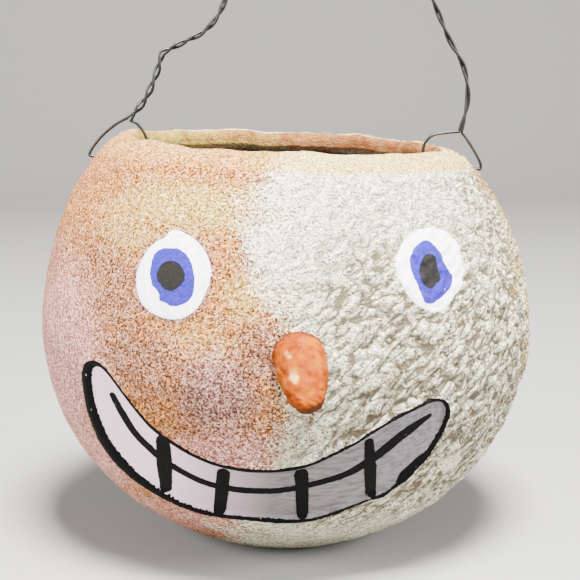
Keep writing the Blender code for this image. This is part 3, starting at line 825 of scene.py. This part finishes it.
def press_and_mark(head):
    """Presses the grin into the skin and writes the masks that relief and paint follow."""
    mesh = head.data
    count = len(mesh.vertices)
    places = numpy.empty(count * 3)
    mesh.vertices.foreach_get("co", places)
    places = places.reshape(-1, 3) / MM
    x, y, z = places.T
    tilt = math.tan(math.radians(RIM_TILT))
    height = z + tilt * x * (numpy.clip(z, 0, None) / HEAD_HEIGHT) ** 2
    turn = numpy.degrees(numpy.arctan2(x, -y))
    radius = numpy.hypot(x, y)
    skin = ease(3.2, 1.2, outer_radius(height) - radius) * ease(0.1, 2.0, z)
    front = (numpy.abs(turn) < 85) & (skin > 0.5)

    # Depth of each point in the grin and in the eyes, and the skin's roll round the grin.
    ring = mouth_ring(PRESS_EDGE_POINTS)
    mouth = numpy.full(count, -99.0)
    mouth[front] = depth_in_ring(ring, x[front], z[front])
    press = MOUTH_DEPTH * ease(0.0, LEDGE, mouth)
    rolled = 0.3 * ease(-2.4, -0.5, mouth) * ease(0.6, -0.4, mouth)
    eyes = numpy.zeros(count)
    halo = numpy.zeros(count)
    for side, sharp in (("left", 1.0), ("right", 0.45)):
        outline = spline(EYE_WHITES[side], 4, closed=True)
        depth = numpy.full(count, -99.0)
        depth[front] = depth_in_ring(outline, x[front], z[front])
        eyes = numpy.maximum(eyes, sharp * ease(-0.8, 0.6, depth))
        halo = numpy.maximum(halo, sharp * ease(-1.6, -0.4, depth))

    normals = numpy.empty(count * 3)
    mesh.vertices.foreach_get("normal", normals)
    places -= normals.reshape(-1, 3) * (press - rolled)[:, None]
    mesh.vertices.foreach_set("co", (places * MM).ravel())

    # The right side is the most crumpled and the belly the least, and paint lies calm.
    on_grin = ease(-0.8, 0.4, mouth)
    rim = ease(HEAD_HEIGHT - 6.5, HEAD_HEIGHT - 4.0, height)
    right = ease(-20, 16, turn) * ease(178, 110, numpy.abs(turn))
    behind = ease(110, 150, numpy.abs(turn))
    low = ease(24, 10, height)
    crumple = (0.12 + 0.88 * right + 0.5 * behind * (1 - right)) * (1 - 0.7 * low)
    crumple *= 1 - 0.5 * ease(80, 108, height) * ease(66, 34, turn)
    calm = numpy.clip(numpy.maximum.reduce([0.25 * rim, on_grin, eyes]), 0, 1)
    # The brown stain covers the left, and comes back round the right side and behind.
    stain_edge = numpy.interp(z, *zip(*STAIN_EDGE))
    stain = ease(8.0 + 14.0 * low, -12.0 - 14.0 * low, x - stain_edge)
    round_back = numpy.maximum(ease(48, 96, turn), ease(84, 132, -turn))
    stain = stain * (1 - round_back) + round_back * (0.8 - 0.35 * behind)
    none = numpy.zeros(count)
    tones = {"deep": halo * ease(-10, -30, x), "pale": none, "blush_and_painted_light": none}
    for tone, centre_x, centre_z, half_width, half_height, strength in SKIN_TONES:
        far = numpy.hypot((x - centre_x) / half_width, (z - centre_z) / half_height)
        patch = strength * ease(1.35, 0.35, far) * ease(40, -20, y)
        tones[tone] = numpy.maximum(tones[tone], patch)
    inner_top = ease(OPENING_RADIUS + 2.6, OPENING_RADIUS + 1.4, radius) * ease(108, 111, height)
    masks = {
        "inside": (1 - skin) * ease(LIP_BAND_LOW - 0.2, LIP_BAND_LOW - 1.4, height)
        * ease(0.5, 2.0, z),
        "crumple": crumple * (1 - calm) * skin,
        "grained": (1 - 0.8 * calm) * skin,
        "lumpy": (1 - 0.4 * calm) * numpy.maximum(skin, inner_top),
        "calm": calm,
        "lip": inner_top * ease(LIP_BAND_LOW - 1.4, LIP_BAND_LOW - 0.4, height),
        "wash": 0.85 * ease(HEAD_HEIGHT - 5.2, HEAD_HEIGHT - 4.2, height) * skin
        * (0.25 + 0.75 * ease(-20, 5, x)),
        "stain": stain,
        **tones,
    }
    write_masks(mesh, masks)


def make_head(relief, material):
    """The pot: shaped, drilled, pressed, and wrinkled by hand."""
    head = smooth_head()
    drill_wire_holes(head)
    press_and_mark(head)
    raise_relief(head, relief, material, wrinkle_width=3.1 * MM, wrinkle_height=1.1 * MM,
                 grain_width=2.4 * MM, grain_height=0.3 * MM, lump_width=15 * MM,
                 lump_height=0.9 * MM, slant=SLANT)
    head.data.shade_smooth()
    stand_in(head, "head", "head_shell")
    return head


# Paint on the head.

def painted_film(name, node, rows, film, material, tree, closed=False):
    """A thin coat of paint that hugs the pulp: rows of (x, z) points of the front view are laid
    on the head, film outside it, and the coat is closed behind and round its edge."""
    outer = []
    inner = []
    for row in rows:
        for x, z in row:
            start = face_point(x, z, RAY_REACH)
            inward = (face_point(x, z, -RAY_REACH) - start).normalized()
            found = tree.ray_cast(start, inward)[0]
            outer.append(found - film * MM * inward)
            inner.append(found + FILM_ROOT * MM * inward)
    behind = len(outer)
    columns = len(rows[0])
    last_row = behind - columns
    faces = grid_faces(columns, len(rows), closed)
    faces += [tuple(i + behind for i in reversed(face)) for face in faces]
    edges = [list(range(columns)), list(range(last_row, behind))]
    if closed:
        edges = [edge + edge[:1] for edge in edges]
    else:
        edges += [list(range(column, behind, columns)) for column in (0, columns - 1)]
    for edge in edges:
        faces += [(a, b, b + behind, a + behind) for a, b in zip(edge, edge[1:])]
    piece = shell(name, outer + inner, faces)
    piece.data.materials.append(material)
    piece.data.shade_smooth()
    piece.data.set_sharp_from_angle(angle=math.radians(50))
    stand_in(piece, "head", node)


def wobble(point, size, reach, seed):
    """A point of the front view shaken as an unsteady brush would: reach is how far."""
    where = Vector((point[0] / size, point[1] / size, seed))
    return point + reach * Vector((noise.noise(where), noise.noise(where + Vector((37, 11, 5)))))


def disc_rows(outline, rings, shake, seed):
    """Rows of points that fill a round outline from its edge to its middle."""
    edge = [wobble(p, 0.9, shake, seed) for p in outline]
    middle = sum(outline, Vector((0.0, 0.0))) / len(outline)
    return [[p.lerp(middle, ring / rings) for p in edge] for ring in range(rings + 1)]


def make_eye(side, paints, tree):
    """White, iris and pupil, each laid over the one before."""
    for seed, (kind, slot, outlines, film, rings, shake) in enumerate(EYE_COATS):
        outline = spline(outlines[side], 12, closed=True)
        rows = disc_rows(outline, rings, shake, seed + (10 if side == "left" else 20))
        node = "%s_%s" % (kind, side)
        painted_film("painted_" + node, node, rows, film, paints[kind], tree, closed=True)


def stroke_rows(line, widths, across, shake, seed, rough=None, closed=False):
    """Rows of points that fill a brush stroke along a line. widths says how wide it is, and how
    far it lies to the left of the line, at each share of its length; rough adds raggedness."""
    count = len(line)
    shares = [w[0] for w in widths]
    insets = [w[2] if len(w) > 2 else 0.0 for w in widths]
    rows = []
    for lane in range(across + 1):
        offset = lane / across - 0.5
        row = []
        for i, here in enumerate(line):
            if closed:
                ahead = line[(i + 1) % count] - line[i - 1]
            else:
                ahead = line[min(i + 1, count - 1)] - line[max(i - 1, 0)]
            aside = Vector((-ahead[1], ahead[0])).normalized()
            share = i / (count if closed else count - 1)
            width = float(numpy.interp(share, shares, [w[1] for w in widths]))
            inset = float(numpy.interp(share, shares, insets))
            if not closed:
                run = min(i, count - 1 - i) * ahead.length / 2
                width *= math.sqrt(max(1 - max(1 - run / (width / 2), 0) ** 2, 0.002))
            where = Vector((here[0] / 1.3, here[1] / 1.3, seed + (5 if offset > 0 else 0)))
            reach = shake * (1 + (rough(share) if rough else 0))
            ragged = reach * noise.fractal(where, 0.7, 2.0, 3) * abs(offset) * 2
            row.append(here + aside * (inset + offset * width + math.copysign(ragged, offset)))
        rows.append(row)
    return rows


def dry_brush(share):
    """How much more ragged the outline's edge is at a share of its way round."""
    return 1.6 * float(ease(DRY_STRETCH[0] - 0.03, DRY_STRETCH[0], share)
                       * ease(DRY_STRETCH[1] + 0.05, DRY_STRETCH[1], share))


def make_grin(paints, tree):
    """The grin: a white coat, its brushed black outline, the bite line and four tooth bars."""
    ring = mouth_ring(GRIN_EDGE_POINTS)
    tip = min(range(len(ring)), key=lambda i: (ring[i] - Vector(RIGHT_TIP)).length)
    low = resample(ring[:tip + 1], GRIN_COLUMNS + 1)
    high = resample(ring[tip:] + ring[:1], GRIN_COLUMNS + 1)[::-1]
    rows = [[a.lerp(b, 1 - level / GRIN_ROWS) for a, b in zip(low, high)]
            for level in range(GRIN_ROWS + 1)]
    painted_film("painted_grin_white", "mouth_field", rows, GRIN_FILM,
                 paints["grin"], tree)

    rows = stroke_rows(ring, OUTLINE_STROKE, 6, 0.22, 3.0, rough=dry_brush, closed=True)
    painted_film("painted_grin_outline", "mouth_outline", rows, OUTLINE_FILM,
                 paints["dry_black"], tree, closed=True)

    line = resample(spline(BITE_LINE, 10), GRIN_COLUMNS + 1)
    rows = stroke_rows(line, BITE_WIDTHS, 5, 0.2, 8.0)
    painted_film("painted_bite_line", "bite_line", rows, BITE_FILM,
                 paints["black"], tree)

    for number, (x_top, z_top, x_low, z_low, widths) in enumerate(TOOTH_BARS, start=1):
        line = resample([Vector((x_top, z_top)), Vector((x_low, z_low))], 60)
        rows = stroke_rows(line, tuple(zip((0.1, 0.5, 0.9), widths)), 9, 0.25, 10.0 + number)
        node = "tooth_bar_%d" % number
        painted_film("painted_" + node, node, rows, BAR_FILM, paints["black"],
                     tree)


# The carrot nose.

def make_nose(relief, material):
    """A stubby carrot, rolled from pulp and pressed on: blunt, slightly flat on top."""
    route = resample(spline(NOSE_ROUTE, 12), NOSE_RINGS)
    last = NOSE_RINGS - 1
    verts = []
    for i, (x, y, z, radius) in enumerate(route):
        here = Vector((x, y, z))
        ahead = (route[min(i + 1, last)] - route[max(i - 1, 0)]).xyz.normalized()
        side = ahead.cross(Vector((0, 0, 1))).normalized()
        up = side.cross(ahead)
        share = i / last
        for k in range(NOSE_SIDES):
            turn = 2 * math.pi * k / NOSE_SIDES
            flat = 1 - 0.05 * max(math.sin(turn), 0) ** 3 + 0.04 * math.cos(2 * turn + 0.5)
            ring = 1 + 0.026 * math.sin(26 * share + 1.5 * math.sin(turn + 1)) * (share < 0.8)
            reach = radius * flat * ring
            verts.append(MM * (here + reach * (math.cos(turn) * side + math.sin(turn) * up)))
    faces = grid_faces(NOSE_SIDES, NOSE_RINGS, closed=True)
    for ring, middle in ((0, route[0].xyz), (last, route[-1].xyz + Vector(NOSE_POINT))):
        start = ring * NOSE_SIDES
        faces += [(len(verts), start + k, start + (k + 1) % NOSE_SIDES) for k in range(NOSE_SIDES)]
        verts.append(MM * middle)
    nose = shell("modelled_carrot_nose", verts, faces)
    # Two pale spots on its crown, rubbed paint and painted highlight, and darkening under the
    # tip and round the root, partly soil and partly painted shade.
    worn = []
    soil_and_shade = []
    for vertex in nose.data.vertices:
        x, y, z = vertex.co / MM
        spot_and_highlight = math.exp(-((x + 5.4) / 1.7) ** 2 - ((z - 66.6) / 1.5) ** 2)
        spot_and_highlight += 0.6 * math.exp(-((x + 6.6) / 1.6) ** 2 - ((z - 71.5) / 1.8) ** 2)
        worn.append(spot_and_highlight * float(ease(-76, -80, y)))
        under = float(ease(63.0, 59.0, z - 0.25 * (y + 86) - 0.3 * (x + 1)))
        root = float(ease(-77.0, -73.5, y))
        soil_and_shade.append(min(under + 0.75 * root, 1.0))
    whole = [1.0] * len(worn)
    write_masks(nose.data, {"worn": worn, "soil_and_shade": soil_and_shade, "crumple": [0.45] * len(worn),
                            "grained": whole, "lumpy": whole})
    raise_relief(nose, relief, material, wrinkle_width=2.4 * MM, wrinkle_height=0.8 * MM,
                 grain_width=2.6 * MM, grain_height=0.6 * MM, lump_width=7 * MM,
                 lump_height=0.8 * MM, slant=0.0)
    nose.data.shade_smooth()
    stand_in(nose, "head", "carrot_nose")


# The bail.

def twisted_strand(phase):
    """One strand of the twisted pair, knot to knot."""
    centre = resample(spline(BAIL_ROUTE, 12), TWISTS * 24 + 1)
    strand = []
    for i, place in enumerate(centre):
        ahead = centre[min(i + 1, len(centre) - 1)] - centre[max(i - 1, 0)]
        ahead.normalize()
        outward = Vector((-ahead[1], ahead[0]))
        share = i / (len(centre) - 1)
        turned_share = share + TWIST_TIGHTENING * share * (1 - share)
        angle = 2 * math.pi * TWISTS * turned_share + phase
        uneven = 1 + TWIST_LOOSENESS * (1 - share) * math.sin(17 * share + 0.6)
        loose = float(numpy.interp(share, (0.25, 0.75), TWIST_RADII)) * uneven
        side = loose * math.cos(angle)
        strand.append(Vector((place[0] + side * outward[0], loose * math.sin(angle),
                              place[1] + side * outward[1])))
    return strand


def loop_end(loop, side, clearance):
    """Opened end of a strand, from its knot to the middle of the wire hole."""
    inward = 1 if side == "left" else -1
    entry = loop[-1][0] + inward * (3.0 if abs(loop[-1][0]) > HOLE_MIDDLE else -3.0)
    middle = -inward * HOLE_MIDDLE + clearance
    places = list(loop) + [(entry, hinge_height(entry)), (middle, hinge_height(middle))]
    return [Vector((x, 0.0, z)) for x, z in places]


def drawn_wire_tree(material):
    """Sweeps a round wire along a route, with closed ends."""
    tree = new_tree("drawn_wire", {"Wire Diameter": WIRE_DIAMETER * MM, "Sides": WIRE_SIDES})
    given = add(tree, "NodeGroupInput").node.outputs
    half = add(tree, "Math", {0: given["Wire Diameter"], 1: 0.5}, operation="MULTIPLY")
    circle = add(tree, "GeometryNodeCurvePrimitiveCircle", {
        "Resolution": given["Sides"], "Radius": half})
    wire = add(tree, "GeometryNodeCurveToMesh", {
        "Curve": given["Geometry"], "Profile Curve": circle, "Fill Caps": True})
    close_tree(tree, wire, material)
    return tree


def make_strand(name, phase, left_loop, right_loop, clearance, tree):
    """One strand of the bail, from hole to hole, swept with wire."""
    left = loop_end(left_loop, "left", -clearance)
    right = loop_end(right_loop, "right", clearance)
    twist = twisted_strand(phase)
    left = spline(left[::-1] + [twist[0]], 10)[:-1]
    right = spline([twist[-1]] + right, 10)[1:]
    route = left + twist + right
    curve = bpy.data.curves.new(name, "CURVE")
    curve.dimensions = "3D"
    line = curve.splines.new("POLY")
    line.points.add(len(route) - 1)
    for point, place in zip(line.points, route):
        point.co = (*(MM * place), 1.0)
    source = bpy.data.objects.new(name + "_route", curve)
    bpy.context.scene.collection.objects.link(source)
    modifier = source.modifiers.new("wire", "NODES")
    modifier.node_group = tree
    set_inputs(modifier, {"Wire Diameter": WIRE_DIAMETER * MM, "Sides": WIRE_SIDES})
    bpy.context.view_layer.update()
    depsgraph = bpy.context.evaluated_depsgraph_get()
    mesh = bpy.data.meshes.new_from_object(source.evaluated_get(depsgraph))
    bpy.data.objects.remove(source)
    shape = bmesh.new()
    shape.from_mesh(mesh)
    strand = sealed("wire_" + name, shape, mesh)
    mesh.shade_smooth()
    stand_in(strand, "bail", name)


def make_bail():
    """Two strands of one twisted wire bail, each opened into a loop at its ends."""
    tree = drawn_wire_tree(annealed_wire())
    make_strand("bail_strand_outer", 0.0, LEFT_OUTER_LOOP, RIGHT_OUTER_LOOP, END_GAP, tree)
    make_strand("bail_strand_inner", math.pi, LEFT_INNER_LOOP, RIGHT_INNER_LOOP, -END_GAP, tree)


# Studio.

def make_studio():
    """Pale floor that sweeps up behind, a softbox overhead and a soft fill on each side."""
    profile = [(SWEEP_FRONT, 0.0), (SWEEP_BACK, 0.0)]
    profile += [(SWEEP_BACK + SWEEP_BEND * math.sin(t), SWEEP_BEND * (1 - math.cos(t)))
                for t in numpy.linspace(0, math.pi / 2, 17)[1:]]
    profile += [(SWEEP_BACK + SWEEP_BEND, SWEEP_TOP)]
    verts = [(side * SWEEP_HALF_WIDTH, y, z) for y, z in profile for side in (-1, 1)]
    faces = [(2 * i, 2 * i + 1, 2 * i + 3, 2 * i + 2) for i in range(len(profile) - 1)]
    mesh = bpy.data.meshes.new("studio_sweep")
    mesh.from_pydata(verts, [], faces)
    mesh.materials.append(studio_paper())
    mesh.shade_smooth()
    link("studio_sweep", mesh)

    for name, place, size, power, colour in SOFTBOXES:
        light = bpy.data.lights.new(name, "AREA")
        light.shape = "RECTANGLE"
        light.size = light.size_y = size
        light.energy = power
        light.color = colour
        lamp = bpy.data.objects.new(name, light)
        lamp.location = place
        aim = Vector(LIGHT_AIM) - Vector(place)
        lamp.rotation_euler = aim.to_track_quat("-Z", "Y").to_euler()
        bpy.context.scene.collection.objects.link(lamp)
    world = bpy.data.worlds.new("studio_air")
    world.use_nodes = True
    background = world.node_tree.nodes["Background"]
    background.inputs["Color"].default_value = (1.0, 1.0, 1.0, 1.0)
    background.inputs["Strength"].default_value = AIR_LIGHT
    bpy.context.scene.world = world


def make_camera():
    """Slightly above the rim and a little to the left of the face, looking down at the pot."""
    turn = math.radians(CAMERA_TURN)
    camera = bpy.data.cameras.new("camera")
    camera.sensor_width = 36.0
    camera.lens = CAMERA_LENS
    eye = bpy.data.objects.new("camera", camera)
    eye.location = (math.sin(turn) * CAMERA_DISTANCE, -math.cos(turn) * CAMERA_DISTANCE,
                    CAMERA_HEIGHT)
    eye.rotation_euler = (math.radians(90.0 - CAMERA_DOWN), 0.0, turn + math.radians(CAMERA_LEAN))
    bpy.context.scene.collection.objects.link(eye)
    bpy.context.scene.camera = eye


def main():
    make_camera()
    make_studio()
    relief = pulp_relief_tree()
    head = make_head(relief, painted_pulp())
    depsgraph = bpy.context.evaluated_depsgraph_get()
    tree = BVHTree.FromObject(head, depsgraph)
    paints = {
        "eye_white": brushed_paint("eye_white_craft_paint", "FBFAFC", "DCD6EE", "E6DDD0", 0.5, 0.3,
                                   stroke=(1.0, 0.3)),
        "iris": brushed_paint("violet_blue_craft_paint", "24178C", "170C6E", "594BB2", 0.5, 0.2,
                              chips=-0.04),
        "pupil": brushed_paint("umber_black_craft_paint", "13110E", "0A0908", "36322E", 0.6, 0.15,
                               chips=-0.04),
        # The grin's white is given grey: partly greyed paint, partly painted shade of the pressed
        # grin; its brighter left end is painted light.
        "grin": brushed_paint("chalk_white_paint_greyed_with_painted_shade", "767073", "575155", "685E57", 0.6, 0.15,
                              stroke=(0.2, 1.0), grain=0.3, painted_light_colour="E6C6D4"),
        "black": brushed_paint("black_craft_paint", "050505", "080808", "C8C2C0", 0.7, 0.06,
                               chips=-0.06, grain=0.3),
        "dry_black": brushed_paint("dry_brushed_black_craft_paint", "050505", "080808", "BFA48C",
                                   0.7, 0.06, chips=-0.05),
    }
    for side in ("left", "right"):
        make_eye(side, paints, tree)
    make_grin(paints, tree)
    make_nose(relief, carrot_paint())
    make_bail()


main()
